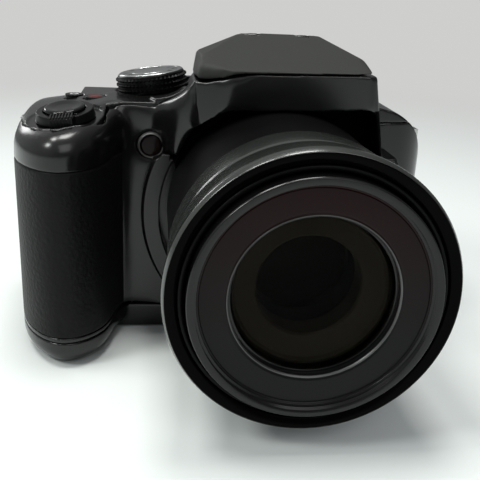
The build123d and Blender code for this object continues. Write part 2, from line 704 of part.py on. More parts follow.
with BuildPart() as eyecup:
    with BuildSketch(Plane.XZ.offset(-rear_y)):
        with BuildLine():
            Polyline(
                (-16, 62.6), (16, 62.6), (18, 65), (18, 79), (15, 84), (-15, 84), (-18, 79), (-18, 65),
                close=True,
            )
        make_face()
    extrude(amount=-8.7)
    add(block((-12.5, 12.5), (rear_y + 1.5, 30), (67, 80.5)), mode=Mode.SUBTRACT)
    add(block((-10, 10), (10, 30), (69, 79)), mode=Mode.SUBTRACT)
save(eyecup.part, "eyecup")

# Lens: barrel fixed to the body, and two tubes that slide out
with BuildPart() as fixed_barrel:
    add(turned([
        (-27, 32.8), (-67, 32.8), (-67.4, 33.0), (-79.6, 33.2), (-80.0, 32.6), (-80.4, 33.6),
        (-88.0, 33.8), (-88.4, 33.2), (-91.0, 33.2), (-91.4, flange_r), (flange_y, flange_r),
        (flange_y + 0.5, barrel_bore_r), (-27, barrel_bore_r),
    ]))
save(fixed_barrel.part, "fixed_barrel")

with BuildPart() as zoom_tube_rear:
    add(turned([
        (-93.0, rear_tube_r - 0.02), (-43, rear_tube_r - 0.02), (-43, 15), (-45, 15), (-45, 29.8),
        (-93.0, 29.8),
    ]))
save(zoom_tube_rear.part, "zoom_tube_rear")

with BuildPart() as zoom_tube_front:
    add(turned([
        (lens_front_y, front_tube_r), (-50, front_tube_r), (-50, 28.2), (-90, 28.2), (-90, 19.2),
        (-91.4, 19.2), (-91.4, name_ring_r), (-94.0, name_ring_r), (-94.0, filter_r),
        (lens_front_y, filter_r),
    ]))
save(zoom_tube_front.part, "zoom_tube_front")

with BuildPart() as name_ring:
    add(turned([(-93.9, name_ring_r), (-93.3, 19.7), (-91.4, 19.7), (-91.4, name_ring_r)]))
save(name_ring.part, "name_ring")

with BuildPart() as front_element:
    with BuildSketch(Plane.YZ):
        with BuildLine():
            ThreePointArc((-92.9, lens_z), (-92.4, lens_z + 9.6), (-91.0, lens_z + 19.2))
            Polyline((-91.0, lens_z + 19.2), (-88, lens_z + 19.2), (-88, lens_z), (-92.9, lens_z))
        make_face()
    revolve(axis=Axis((0, 0, lens_z), (0, 1, 0)))
save(front_element.part, "front_element")

with BuildPart() as lens_baffle:
    add(turned([(-88, 19.2), (-88, 18), (-78, 12.7), (-77.4, 13.9), (-86, 19.2)]))
save(lens_baffle.part, "lens_baffle")

with BuildPart() as second_group:
    add(turned([(-45, 17), (-70, 17), (-70, 13.0), (-67, 13.0), (-67, 0), (-60, 0), (-60, 13), (-45, 13.0)]))
save(second_group.part, "second_group")

with BuildPart() as lens_base:
    add(turned([
        (-42, 22), (-29, 22), (-29, barrel_bore_r), (-27, barrel_bore_r), (-27, 28.9), (-19.5, 28.9),
        (-19.5, 14), (-24, 14), (-24, 20.4), (-42, 20.4),
    ]))
save(lens_base.part, "lens_base")

with BuildPart() as iris_unit:
    add(turned([(-41, 20.4), (-38, 20.4), (-38, 6), (-41, 6)]))
save(iris_unit.part, "iris_unit")

with BuildPart() as focus_group:
    add(rod((0, -33.5, lens_z), (0, 1, 0), 20.0, 4))
save(focus_group.part, "focus_group")

with BuildPart() as image_sensor:
    add(block((-15, 15), (-19.5, -17.0), (28, 52)))
save(image_sensor.part, "image_sensor")

with BuildPart() as zoom_motor:
    add(rod((38, -13, 14), (0, 1, 0), 4.0, 13))
save(zoom_motor.part, "zoom_motor")

# Inside the body
with BuildPart() as battery_box:
    add(block((-71.2, -46.6), (-24.5, 8.7), (4.8, 50)))
    add(block((-69.9, -51.4), (-23.2, 7.4), (3, 48.8)), mode=Mode.SUBTRACT)
    add(block((-50.4, -48.0), (-20, 5), (3, 40)), mode=Mode.SUBTRACT)
save(battery_box.part, "battery_box")

with BuildPart() as battery:
    add(block((-69.6, -51.7), (-22.9, 7.1), (2.3, 46.5)))
save(battery.part, "battery")

with BuildPart() as memory_card:
    add(block((-50.2, -48.2), (-19.5, 4.5), (2.3, 36)))
save(memory_card.part, "memory_card")

with BuildPart() as main_board:
    add(block((-36, 38), (1.0, 2.6), (9, 62)))
save(main_board.part, "main_board")

with BuildPart() as flash_capacitor:
    add(rod((43.5, 6, 14), (0, 0, 1), 3.6, 34))
save(flash_capacitor.part, "flash_capacitor")

# Strap lugs, one on each side
with BuildPart() as strap_lugs:
    add(block((48.6, 54.0), (0.4, 5.4), (53.6, 60.6)))
    add(outer_form.part, mode=Mode.SUBTRACT)
    add(rod((48.4, 2, 55.6), (1, 0, 0), 1.2, 3.0))
    add(block((52.4, 53.2), (-5, 10), (55.1, 59.1)), mode=Mode.SUBTRACT)
    add(block((grip_left - 2.2, grip_left), (0.5, 5.0), (54.5, 61.5)))
    add(block((grip_left - 1.5, grip_left - 0.7), (-5, 10), (56, 60)), mode=Mode.SUBTRACT)
save(strap_lugs.part, "strap_lugs")
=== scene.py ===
from math import cos, hypot, pi, radians, sin

import bmesh
import bpy
from mathutils import Matrix, Vector


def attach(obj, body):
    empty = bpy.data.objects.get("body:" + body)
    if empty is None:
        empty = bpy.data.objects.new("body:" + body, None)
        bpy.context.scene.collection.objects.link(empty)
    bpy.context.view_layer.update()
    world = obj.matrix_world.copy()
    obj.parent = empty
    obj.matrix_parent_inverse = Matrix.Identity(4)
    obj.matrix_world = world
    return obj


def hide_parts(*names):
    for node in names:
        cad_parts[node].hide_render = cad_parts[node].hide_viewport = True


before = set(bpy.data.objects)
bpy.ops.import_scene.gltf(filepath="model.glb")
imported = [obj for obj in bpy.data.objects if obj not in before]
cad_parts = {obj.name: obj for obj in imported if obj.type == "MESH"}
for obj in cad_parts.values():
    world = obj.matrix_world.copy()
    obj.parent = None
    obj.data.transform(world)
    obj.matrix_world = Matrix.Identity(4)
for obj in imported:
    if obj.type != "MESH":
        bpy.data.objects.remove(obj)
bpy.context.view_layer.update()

# Front housing, top cover, rear cover, bottom cover and flash lid: black moulded plastic with a fine
# spark-eroded grain, snapped and screwed together, so that each edge is rounded by its mould.
scene = bpy.context.scene
MM = 0.001
MERGE_DISTANCE = 0.01 * MM
SHELL_VOXEL = 0.32 * MM
SHELL_TRIANGLES = 170000


def node_copy(node, name):
    """A merged copy of a CAD piece, linked to the scene."""
    piece = bpy.data.objects.new(name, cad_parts[node].data.copy())
    scene.collection.objects.link(piece)
    mesh = bmesh.new()
    mesh.from_mesh(piece.data)
    bmesh.ops.remove_doubles(mesh, verts=mesh.verts, dist=MERGE_DISTANCE)
    mesh.to_mesh(piece.data)
    mesh.free()
    return piece


def finished(piece):
    """The piece with its modifiers applied."""
    evaluated = piece.evaluated_get(bpy.context.evaluated_depsgraph_get())
    mesh = bpy.data.meshes.new_from_object(evaluated)
    piece.modifiers.clear()
    piece.data = mesh
    return piece


def moulded(node, voxel=SHELL_VOXEL, passes=8, soft_spots=(), limit=SHELL_TRIANGLES):
    """A moulded plastic copy of a CAD node: its edges are rounded, and more so at each soft spot.

    A soft spot is its centre and its reach in mm, and the extra passes of smoothing at its middle.
    """
    piece = node_copy(node, node + "_moulded")
    remesh = piece.modifiers.new("remesh", "REMESH")
    remesh.mode = "VOXEL"
    remesh.voxel_size = voxel
    remesh.adaptivity = 0.0
    finished(piece)
    smooth = piece.modifiers.new("rounding", "SMOOTH")
    smooth.factor = 0.5
    smooth.iterations = passes
    for number, (centre, reach, extra) in enumerate(soft_spots):
        group = piece.vertex_groups.new(name=f"soft{number}")
        middle = Vector(centre) * MM
        sizes = Vector(reach) * MM
        for vertex in piece.data.vertices:
            offset = vertex.co - middle
            far = hypot(offset.x / sizes.x, offset.y / sizes.y, offset.z / sizes.z)
            if far < 1:
                group.add([vertex.index], min(1.0, 2 * (1 - far)), "REPLACE")
        softer = piece.modifiers.new(f"soft{number}", "SMOOTH")
        softer.factor = 0.9
        softer.iterations = extra
        softer.vertex_group = group.name
    finished(piece)
    triangles = 2 * len(piece.data.polygons)
    if triangles > limit:
        thin = piece.modifiers.new("thin", "DECIMATE")
        thin.ratio = limit / triangles
        finished(piece)
    piece.vertex_groups.clear()
    piece.data.shade_smooth()
    return piece


def socket_group(name, inputs, outputs, tree_kind="ShaderNodeTree"):
    """An empty node group with named sockets, and its input and output nodes."""
    tree = bpy.data.node_groups.new(name, tree_kind)
    for label, kind, value in inputs:
        socket = tree.interface.new_socket(label, in_out="INPUT", socket_type=kind)
        if value is not None:
            socket.default_value = value
    for label, kind in outputs:
        tree.interface.new_socket(label, in_out="OUTPUT", socket_type=kind)
    return tree, tree.nodes.new("NodeGroupInput"), tree.nodes.new("NodeGroupOutput")


FLOAT, COLOUR, VECTOR = "NodeSocketFloat", "NodeSocketColor", "NodeSocketVector"


def math_node(tree, operation, *values):
    """The result of a Math node whose inputs are numbers or the outputs of other nodes."""
    node = tree.nodes.new("ShaderNodeMath")
    node.operation = operation
    for socket, value in zip(node.inputs, values):
        if isinstance(value, bpy.types.NodeSocket):
            tree.links.new(value, socket)
        else:
            socket.default_value = value
    return node.outputs[0]


def grain_group():
    """Fine mould grain with slow changes of gloss and tone, on Object coordinates."""
    tree, start, end = socket_group(
        "moulded_grain",
        [("Colour", COLOUR, (0.02, 0.02, 0.02, 1)), ("Grain size", FLOAT, 0.0003),
         ("Grain depth", FLOAT, 0.00002), ("Roughness", FLOAT, 0.4), ("Unevenness", FLOAT, 0.06)],
        [("Colour", COLOUR), ("Roughness", FLOAT), ("Normal", VECTOR)],
    )
    nodes, links = tree.nodes, tree.links
    place = nodes.new("ShaderNodeTexCoord")
    grains_per_metre = math_node(tree, "DIVIDE", 1.0, start.outputs["Grain size"])
    fine = nodes.new("ShaderNodeTexNoise")
    fine.inputs["Detail"].default_value = 3.0
    links.new(place.outputs["Object"], fine.inputs["Vector"])
    links.new(grains_per_metre, fine.inputs["Scale"])
    slow = nodes.new("ShaderNodeTexNoise")
    slow.inputs["Scale"].default_value = 45.0
    slow.inputs["Detail"].default_value = 4.0
    links.new(place.outputs["Object"], slow.inputs["Vector"])
    bump = nodes.new("ShaderNodeBump")
    bump.inputs["Strength"].default_value = 1.0
    links.new(start.outputs["Grain depth"], bump.inputs["Distance"])
    links.new(fine.outputs["Fac"], bump.inputs["Height"])
    links.new(bump.outputs["Normal"], end.inputs["Normal"])
    centred = math_node(tree, "SUBTRACT", slow.outputs["Fac"], 0.5)
    uneven = math_node(
        tree, "MULTIPLY_ADD", centred, start.outputs["Unevenness"], start.outputs["Roughness"])
    links.new(uneven, end.inputs["Roughness"])
    tone = nodes.new("ShaderNodeMix")
    tone.data_type = "RGBA"
    tone.blend_type = "MULTIPLY"
    tone.inputs["Factor"].default_value = 0.35
    links.new(start.outputs["Colour"], tone.inputs["A"])
    links.new(slow.outputs["Color"], tone.inputs["B"])
    grey = nodes.new("ShaderNodeRGBToBW")
    links.new(tone.outputs["Result"], grey.inputs["Color"])
    faded = nodes.new("ShaderNodeMix")
    faded.data_type = "RGBA"
    faded.inputs["Factor"].default_value = 0.25
    links.new(start.outputs["Colour"], faded.inputs["A"])
    links.new(grey.outputs["Val"], faded.inputs["B"])
    links.new(faded.outputs["Result"], end.inputs["Colour"])
    return tree


GRAIN = grain_group()


def grained(name, colour, roughness, grain_size, grain_depth, unevenness=0.06, metallic=0.0,
            specular=0.5, coat=0.0):
    """A material of moulded or painted stuff with its own grain."""
    material = bpy.data.materials.new(name)
    material.use_nodes = True
    nodes, links = material.node_tree.nodes, material.node_tree.links
    shader = nodes["Principled BSDF"]
    grain = nodes.new("ShaderNodeGroup")
    grain.node_tree = GRAIN
    grain.inputs["Colour"].default_value = (*colour, 1)
    grain.inputs["Grain size"].default_value = grain_size
    grain.inputs["Grain depth"].default_value = grain_depth
    grain.inputs["Roughness"].default_value = roughness
    grain.inputs["Unevenness"].default_value = unevenness
    links.new(grain.outputs["Colour"], shader.inputs["Base Color"])
    links.new(grain.outputs["Roughness"], shader.inputs["Roughness"])
    links.new(grain.outputs["Normal"], shader.inputs["Normal"])
    shader.inputs["Metallic"].default_value = metallic
    shader.inputs["Specular IOR Level"].default_value = specular
    shader.inputs["Coat Weight"].default_value = coat
    shader.inputs["Coat Roughness"].default_value = 0.15
    return material


def dress(piece, material, body, slot, *nodes):
    """Gives a finished piece its material, the body it rides on and the CAD nodes it stands for."""
    piece.data.materials.clear()
    piece.data.materials.append(material)
    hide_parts(*nodes)
    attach(piece, body)
    return piece


SHELL_BLACK = (0.0035, 0.0038, 0.0035)
shell_plastic = grained("shell_plastic", SHELL_BLACK, 0.22, 0.00035, 0.000003, 0.08, specular=0.46)
flank_soft_spots = [
    ((-32, -30, 63), (12, 14, 18), 420), ((-14, -41, 76), (7, 8, 10), 70), ((24, -38, 74), (8, 10, 14), 40),
    ((-46, -27, 62), (9, 9, 18), 110), ((-44, -28, 30), (10, 10, 40), 110), ((32, -30, 55), (8, 14, 20), 80),
]
front_housing = moulded("front_housing", soft_spots=flank_soft_spots)
dress(front_housing, shell_plastic, "body", "shell", "front_housing")
recess_painted_shade = grained("recess_painted_shade", (0.001, 0.001, 0.001), 0.6, 0.0004, 0.000006, 0.05, specular=0.02)
front_housing.data.materials.append(recess_painted_shade)
# The recess round the barrel is near black and matt, as painted shade. Its left wall leans inwards, more so
# above each of three heights.
RECESS_LEFT, RECESS_RIGHT, RECESS_FRONT, RECESS_LOW, RECESS_HIGH = -30.2, 30, -40.5, 42, 73.4
RECESS_LEANS = ((54.5, 0.35), (62.5, 0.35), (69, 1.2))
for face in front_housing.data.polygons:
    spot = face.center / MM
    left_wall = RECESS_LEFT + sum(slope * max(0, spot.z - low) for low, slope in RECESS_LEANS)
    across = left_wall < spot.x < RECESS_RIGHT
    if across and RECESS_LOW < spot.z < RECESS_HIGH and RECESS_FRONT < spot.y:
        face.material_index = 1
top_cover = moulded("top_cover", voxel=0.3 * MM)
dress(top_cover, shell_plastic, "body", "shell", "top_cover")
for node in ("rear_cover", "bottom_cover"):
    dress(moulded(node, voxel=0.45 * MM, passes=4, limit=100000), shell_plastic, "body", "shell", node)
lid_plastic = grained("lid_plastic", (0.026, 0.027, 0.024), 0.62, 0.0004, 0.000030, 0.10, specular=0.2)
lid_corners = [((25, -37, 84), (7, 9, 6), 160), ((-24, -36, 83), (7, 9, 6), 120)]
flash_lid = moulded("flash_lid", voxel=0.3 * MM, passes=10, soft_spots=lid_corners, limit=90000)
dress(flash_lid, lid_plastic, "flash_lid", "shell", "flash_lid")
lens_collar = moulded("lens_collar", voxel=0.25 * MM, limit=60000)
dress(lens_collar, shell_plastic, "body", "shell", "lens_collar")

# Grip skin, thumb rest and eyecup: soft black rubber skins with a fine leather grain, glued into
# shallow steps of the shells, and the eyecup that is pushed over the finder's frame.
GRIP_BLACK = (0.004, 0.0042, 0.004)
grip_skin = grained("grip_skin", GRIP_BLACK, 0.50, 0.0012, 0.00022, 0.12, specular=0.14)
dress(moulded("grip_rubber", voxel=0.4 * MM, passes=4), grip_skin, "body", "rubber", "grip_rubber")
dress(moulded("thumb_rest", voxel=0.3 * MM, limit=30000), grip_skin, "body", "rubber", "thumb_rest")
eyecup_rubber = grained("eyecup_rubber", (0.006, 0.006, 0.006), 0.6, 0.0004, 0.00001, specular=0.15)
dress(moulded("eyecup", voxel=0.4 * MM, passes=12, limit=40000), eyecup_rubber, "body", "rubber", "eyecup")

# Fixed barrel, zoom tubes and name ring of the lens: turned and painted aluminium and moulded rings
# that slide in each other. The fixed barrel has two satin bands and a wide glossy rim at its front.
LENS_Z = 40 * MM
LENS_MIDDLE = (0, 0, 40)
LENS_OUT = (0, -1, 0)
UP = (0, 0, 1)
CORNER_PARTS = (0.0, 0.33, 0.67, 1.0)
SHARP_ANGLE = radians(28)


def lathed(name, outline, centre=LENS_MIDDLE, axis=LENS_OUT, rounding=0.25, steps=160):
    """A turned ring about an axis: outline is its loop of (radius, distance along the axis) in mm."""
    corners = []
    for index, corner in enumerate(outline):
        here = Vector(corner)
        before = Vector(outline[index - 1])
        after = Vector(outline[(index + 1) % len(outline)])
        reach = min(rounding, 0.4 * (here - before).length, 0.4 * (after - here).length)
        if here.x < 0.001 or reach < 0.01:
            corners.append(here)
            continue
        first = here + (before - here).normalized() * reach
        last = here + (after - here).normalized() * reach
        for part in CORNER_PARTS:
            corners.append(first.lerp(here, part).lerp(here.lerp(last, part), part))
    mesh = bmesh.new()
    rings = []
    for step in range(steps):
        angle = 2 * pi * step / steps
        rings.append([mesh.verts.new((p.x * cos(angle), p.x * sin(angle), p.y)) for p in corners])
    for step in range(steps):
        here, beside = rings[step], rings[(step + 1) % steps]
        for index in range(len(corners)):
            after = (index + 1) % len(corners)
            if corners[index].x < 0.001 and corners[after].x < 0.001:
                continue
            mesh.faces.new((here[index], beside[index], beside[after], here[after]))
    bmesh.ops.remove_doubles(mesh, verts=mesh.verts, dist=0.0001)
    bmesh.ops.recalc_face_normals(mesh, faces=mesh.faces)
    turn = Vector(UP).rotation_difference(Vector(axis)).to_matrix().to_4x4()
    mesh.transform(Matrix.Scale(MM, 4) @ Matrix.Translation(centre) @ turn)
    piece = bpy.data.objects.new(name, bpy.data.meshes.new(name))
    mesh.to_mesh(piece.data)
    mesh.free()
    scene.collection.objects.link(piece)
    piece.data.shade_smooth()
    piece.data.set_sharp_from_angle(angle=SHARP_ANGLE)
    return piece


def turned_group():
    """Fine turning lines round the lens axis, as a normal and a change of gloss."""
    tree, start, end = socket_group(
        "turning_lines",
        [("Pitch", FLOAT, 0.0005), ("Depth", FLOAT, 0.00002), ("Roughness", FLOAT, 0.3)],
        [("Roughness", FLOAT), ("Normal", VECTOR)],
    )
    nodes, links = tree.nodes, tree.links
    place = nodes.new("ShaderNodeTexCoord")
    parts = nodes.new("ShaderNodeSeparateXYZ")
    links.new(place.outputs["Object"], parts.inputs[0])
    turns = math_node(tree, "DIVIDE", parts.outputs["Y"], start.outputs["Pitch"])
    wave = math_node(tree, "PINGPONG", turns, 0.5)
    bump = nodes.new("ShaderNodeBump")
    links.new(start.outputs["Depth"], bump.inputs["Distance"])
    links.new(wave, bump.inputs["Height"])
    links.new(bump.outputs["Normal"], end.inputs["Normal"])
    cloud = nodes.new("ShaderNodeTexNoise")
    cloud.inputs["Scale"].default_value = 60.0
    links.new(place.outputs["Object"], cloud.inputs["Vector"])
    uneven = math_node(tree, "MULTIPLY_ADD", cloud.outputs["Fac"], 0.12, start.outputs["Roughness"])
    links.new(uneven, end.inputs["Roughness"])
    return tree


TURNING = turned_group()


def added(piece, material, body):
    """Gives a piece without a CAD node its material and the body it rides on."""
    piece.data.materials.append(material)
    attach(piece, body)
    return piece


def turned_finish(name, colour, roughness, pitch, depth, metallic=0.0, specular=0.5):
    """A material of a turned or ribbed ring on the lens axis."""
    material = bpy.data.materials.new(name)
    material.use_nodes = True
    nodes, links = material.node_tree.nodes, material.node_tree.links
    shader = nodes["Principled BSDF"]
    lines = nodes.new("ShaderNodeGroup")
    lines.node_tree = TURNING
    lines.inputs["Pitch"].default_value = pitch
    lines.inputs["Depth"].default_value = depth
    lines.inputs["Roughness"].default_value = roughness
    links.new(lines.outputs["Roughness"], shader.inputs["Roughness"])
    links.new(lines.outputs["Normal"], shader.inputs["Normal"])
    shader.inputs["Base Color"].default_value = (*colour, 1)
    shader.inputs["Metallic"].default_value = metallic
    shader.inputs["Specular IOR Level"].default_value = specular
    return material


barrel_satin = turned_finish("barrel_satin", (0.014, 0.016, 0.014), 0.15, 0.0006, 0.000002, specular=0.9)
rim_gloss = grained("rim_gloss", (0.0012, 0.0010, 0.0010), 0.12, 0.0006, 0.0000004, 0.03, specular=0.03)
tube_satin_and_painted_shade = turned_finish("tube_satin_and_painted_shade", (0.0025, 0.0025, 0.0025), 0.28, 0.0008, 0.000010, specular=0.08)
barrel = lathed("barrel_rings", [
    (32.6, 27), (32.6, 67), (33.1, 67.4), (33.2, 77.6), (32.5, 79.6), (32.5, 80.2), (33.6, 80.5),
    (34.0, 87.6), (34.8, 90.4), (34.8, 92.2), (34.2, 93.5), (33.4, 93.5), (31.6, 92.9), (31.3, 92.4),
    (31.3, 27)], rounding=0.25, steps=192)
dress(barrel, barrel_satin, "body", "barrel", "fixed_barrel")
barrel.data.materials.append(rim_gloss)
barrel.data.materials.append(tube_satin_and_painted_shade)
# Faces behind the satin bands take the darker tube finish as painted shade, where the body's recess shades
# the barrel.
RIM_BACK, RIM_RADIUS, BANDS_BACK = -92.2 * MM, 34.1 * MM, -66.8 * MM
for face in barrel.data.polygons:
    spot = face.center
    if spot.y < RIM_BACK and hypot(spot.x, spot.z - LENS_Z) < RIM_RADIUS:
        face.material_index = 1
    elif spot.y > BANDS_BACK:
        face.material_index = 2
rear_tube = lathed("rear_zoom_tube", [
    (31.16, 92.7), (31.16, 43), (15, 43), (15, 45), (29.8, 45), (29.8, 92.2), (30.2, 92.9), (30.9, 93.0)])
dress(rear_tube, tube_satin_and_painted_shade, "zoom_tube_rear", "barrel", "zoom_tube_rear")
thread_outline = [(29.4, 95.6), (29.4, 50), (28.2, 50), (28.2, 90), (19.2, 90), (19.2, 91.4), (27.0, 91.4),
                  (27.0, 93.95)]
THREAD_GROOVES, THREAD_STEP, THREAD_DEEP, THREAD_CREST = 4, 0.45, 27.75, 27.5
for groove in range(THREAD_GROOVES):
    thread_outline.append((THREAD_DEEP, 94.15 + THREAD_STEP * groove))
    thread_outline.append((THREAD_CREST, 94.4 + THREAD_STEP * groove))
thread_outline += [(28.3, 96.0), (29.1, 96.0)]
front_tube = lathed("front_zoom_tube", thread_outline, rounding=0.12, steps=192)
thread_satin = turned_finish("thread_satin", (0.003, 0.003, 0.003), 0.14, 0.0008, 0.000004, specular=0.35)
dress(front_tube, thread_satin, "zoom_tube_front", "barrel", "zoom_tube_front")
ring_gloss = turned_finish("ring_gloss", (0.007, 0.0038, 0.0038), 0.16, 0.0006, 0.000001, specular=0.12)
name_band = lathed("name_band", [
    (27.0, 93.9), (27.0, 91.4), (19.7, 91.4), (19.7, 93.0), (20.3, 93.3), (20.5, 93.1), (21.0, 93.35),
    (26.4, 93.75), (26.6, 93.6)], rounding=0.1)
dress(name_band, ring_gloss, "zoom_tube_front", "gloss", "name_ring")
nodes, links = ring_gloss.node_tree.nodes, ring_gloss.node_tree.links
place = nodes.new("ShaderNodeTexCoord")
height = nodes.new("ShaderNodeSeparateXYZ")
links.new(place.outputs["Object"], height.inputs[0])
painted_reflection_share = nodes.new("ShaderNodeMapRange")
painted_reflection_share.inputs["From Min"].default_value = 0.030
painted_reflection_share.inputs["From Max"].default_value = 0.066
links.new(height.outputs["Z"], painted_reflection_share.inputs["Value"])
# The ring is grey at its foot and faintly red at its top: a painted reflection of the room's warm side.
painted_reflection = nodes.new("ShaderNodeMix")
painted_reflection.data_type = "RGBA"
painted_reflection.inputs["A"].default_value = (0.0080, 0.0080, 0.0080, 1)
painted_reflection.inputs["B"].default_value = (0.0110, 0.0015, 0.0018, 1)
links.new(painted_reflection_share.outputs["Result"], painted_reflection.inputs["Factor"])
links.new(painted_reflection.outputs["Result"], nodes["Principled BSDF"].inputs["Base Color"])
edge_silver = turned_finish("edge_silver", (0.10, 0.10, 0.10), 0.3, 0.0006, 0.000001, metallic=1.0)
retainer = lathed("glass_retainer", [
    (19.75, 92.6), (20.25, 92.6), (20.25, 93.42), (20.05, 93.42), (19.75, 93.1)], rounding=0.06, steps=192)
added(retainer, edge_silver, "zoom_tube_front")

# Optics: coated glass with a blackened edge in front, a stepped matt baffle behind it and the inner
# glass groups, which are fitted and glued in the tubes.
GLASS_RADIUS, GLASS_FRONT, GLASS_BACK, GLASS_BULGE, GLASS_STEPS = 19.2, 92.9, 88, 1.9, 16
front_glass_outline = [(0, GLASS_FRONT)]
for step in range(1, GLASS_STEPS + 1):
    share = step / GLASS_STEPS
    front_glass_outline.append((GLASS_RADIUS * share, GLASS_FRONT - GLASS_BULGE * share ** 2))
front_glass_outline += [(GLASS_RADIUS, GLASS_BACK), (0, GLASS_BACK)]


def glass(name, colour, roughness=0.0, ior=1.5, unevenness=0.01):
    """A clear or tinted glass; a coated one has a low refraction, so it mirrors little."""
    material = bpy.data.materials.new(name)
    material.use_nodes = True
    nodes, links = material.node_tree.nodes, material.node_tree.links
    shader = nodes["Principled BSDF"]
    shader.inputs["Base Color"].default_value = (*colour, 1)
    shader.inputs["Transmission Weight"].default_value = 1.0
    shader.inputs["IOR"].default_value = ior
    place = nodes.new("ShaderNodeTexCoord")
    smear = nodes.new("ShaderNodeTexNoise")
    smear.inputs["Scale"].default_value = 70.0
    links.new(place.outputs["Object"], smear.inputs["Vector"])
    haze = math_node(material.node_tree, "MULTIPLY_ADD", smear.outputs["Fac"], unevenness, roughness)
    links.new(haze, shader.inputs["Roughness"])
    return material


front_coated = glass("front_coated", (0.93, 0.90, 0.86), ior=1.07, unevenness=0.0)
front_glass = lathed("front_glass", front_glass_outline, rounding=0.0)
dress(front_glass, front_coated, "zoom_tube_front", "glass", "front_element")
baffle_matt = turned_finish("baffle_matt", (0.0090, 0.0080, 0.0055), 0.5, 0.0011, 0.00002, specular=0.05)
baffle = lathed("baffle", [(19.2, 88), (18.4, 88), (17.8, 87.2), (12.9, 85.6), (12.4, 84.8), (12.7, 78),
                           (13.9, 77.4), (19.2, 84.2)], rounding=0.15)
dress(baffle, baffle_matt, "zoom_tube_front", "inner", "lens_baffle")

# Controls on top: the mode dial with three rows of knurl points and a bright spun cap, the shutter
# button in its ribbed zoom lever, two round buttons and the power slide. They are moulded or turned
# pieces, clipped on their shafts, and the marks are printed.


def smooth_copy(node, material, body, slot, voxel=0.14, passes=3, limit=24000):
    """A small moulded piece in place of its CAD node."""
    return dress(moulded(node, voxel=voxel * MM, passes=passes, limit=limit), material, body, slot, node)


COUNT, MATERIAL, GEOMETRY = "NodeSocketInt", "NodeSocketMaterial", "NodeSocketGeometry"


def teeth_tree():
    """Geometry Nodes: rows of small pyramid teeth round a ring, all pointing outwards."""
    tree, start, end = socket_group(
        "ring_of_teeth",
        [("Teeth", COUNT, 40), ("Rows", COUNT, 1), ("Radius", FLOAT, 0.01), ("Row step", FLOAT, 0.001),
         ("Tooth width", FLOAT, 0.001), ("Tooth depth", FLOAT, 0.0005), ("Tooth top", FLOAT, 0.0002),
         ("Stretch", FLOAT, 1.0), ("Material", MATERIAL, None)],
        [("Geometry", GEOMETRY)],
        "GeometryNodeTree",
    )
    nodes, links = tree.nodes, tree.links
    circle = nodes.new("GeometryNodeMeshCircle")
    links.new(start.outputs["Teeth"], circle.inputs["Vertices"])
    links.new(start.outputs["Radius"], circle.inputs["Radius"])
    column = nodes.new("GeometryNodeMeshLine")
    rise = nodes.new("ShaderNodeCombineXYZ")
    links.new(start.outputs["Row step"], rise.inputs["Z"])
    links.new(start.outputs["Rows"], column.inputs["Count"])
    links.new(rise.outputs[0], column.inputs["Offset"])
    rows = nodes.new("GeometryNodeInstanceOnPoints")
    links.new(column.outputs["Mesh"], rows.inputs["Points"])
    links.new(circle.outputs["Mesh"], rows.inputs["Instance"])
    spots = nodes.new("GeometryNodeRealizeInstances")
    links.new(rows.outputs["Instances"], spots.inputs["Geometry"])
    place = nodes.new("GeometryNodeInputPosition")
    level = nodes.new("ShaderNodeVectorMath")
    level.operation = "MULTIPLY"
    level.inputs[1].default_value = (1, 1, 0)
    links.new(place.outputs[0], level.inputs[0])
    outward = nodes.new("FunctionNodeAlignRotationToVector")
    outward.axis = "Z"
    links.new(level.outputs[0], outward.inputs["Vector"])
    upright = nodes.new("FunctionNodeAlignRotationToVector")
    upright.axis = "X"
    upright.pivot_axis = "Z"
    upright.inputs["Vector"].default_value = (0, 0, 1)
    links.new(outward.outputs["Rotation"], upright.inputs["Rotation"])
    tooth = nodes.new("GeometryNodeMeshCone")
    tooth.inputs["Vertices"].default_value = 4
    links.new(start.outputs["Tooth top"], tooth.inputs["Radius Top"])
    links.new(start.outputs["Tooth width"], tooth.inputs["Radius Bottom"])
    links.new(start.outputs["Tooth depth"], tooth.inputs["Depth"])
    longer = nodes.new("ShaderNodeCombineXYZ")
    longer.inputs["Y"].default_value = 1.0
    longer.inputs["Z"].default_value = 1.0
    links.new(start.outputs["Stretch"], longer.inputs["X"])
    teeth = nodes.new("GeometryNodeInstanceOnPoints")
    links.new(spots.outputs["Geometry"], teeth.inputs["Points"])
    links.new(tooth.outputs["Mesh"], teeth.inputs["Instance"])
    links.new(upright.outputs["Rotation"], teeth.inputs["Rotation"])
    links.new(longer.outputs[0], teeth.inputs["Scale"])
    real = nodes.new("GeometryNodeRealizeInstances")
    links.new(teeth.outputs["Instances"], real.inputs["Geometry"])
    coat = nodes.new("GeometryNodeSetMaterial")
    links.new(real.outputs["Geometry"], coat.inputs["Geometry"])
    links.new(start.outputs["Material"], coat.inputs["Material"])
    links.new(coat.outputs["Geometry"], end.inputs["Geometry"])
    return tree


TEETH = teeth_tree()


def repeated(name, tree, values, place):
    """A plain mesh of what a Geometry Nodes tree makes from its named inputs, put in place."""
    piece = bpy.data.objects.new(name, bpy.data.meshes.new(name))
    scene.collection.objects.link(piece)
    maker = piece.modifiers.new("maker", "NODES")
    maker.node_group = tree
    for item in tree.interface.items_tree:
        if item.item_type == "SOCKET" and item.in_out == "INPUT" and item.name in values:
            maker[item.identifier] = values[item.name]
    finished(piece)
    piece.data.transform(place)
    return piece


def placed(centre, axis=UP):
    """The transform that puts a ring made about +Z at a centre in mm, about an axis."""
    turn = Vector(UP).rotation_difference(Vector(axis)).to_matrix().to_4x4()
    return Matrix.Translation(Vector(centre) * MM) @ turn


def toothed(name, material, body, centre, axis, values):
    """A ring of teeth that rides on the piece it is cut in."""
    ring = repeated(name, TEETH, {**values, "Material": material}, placed(centre, axis))
    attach(ring, body)
    return ring


INK_THICKNESS = 0.02 * MM


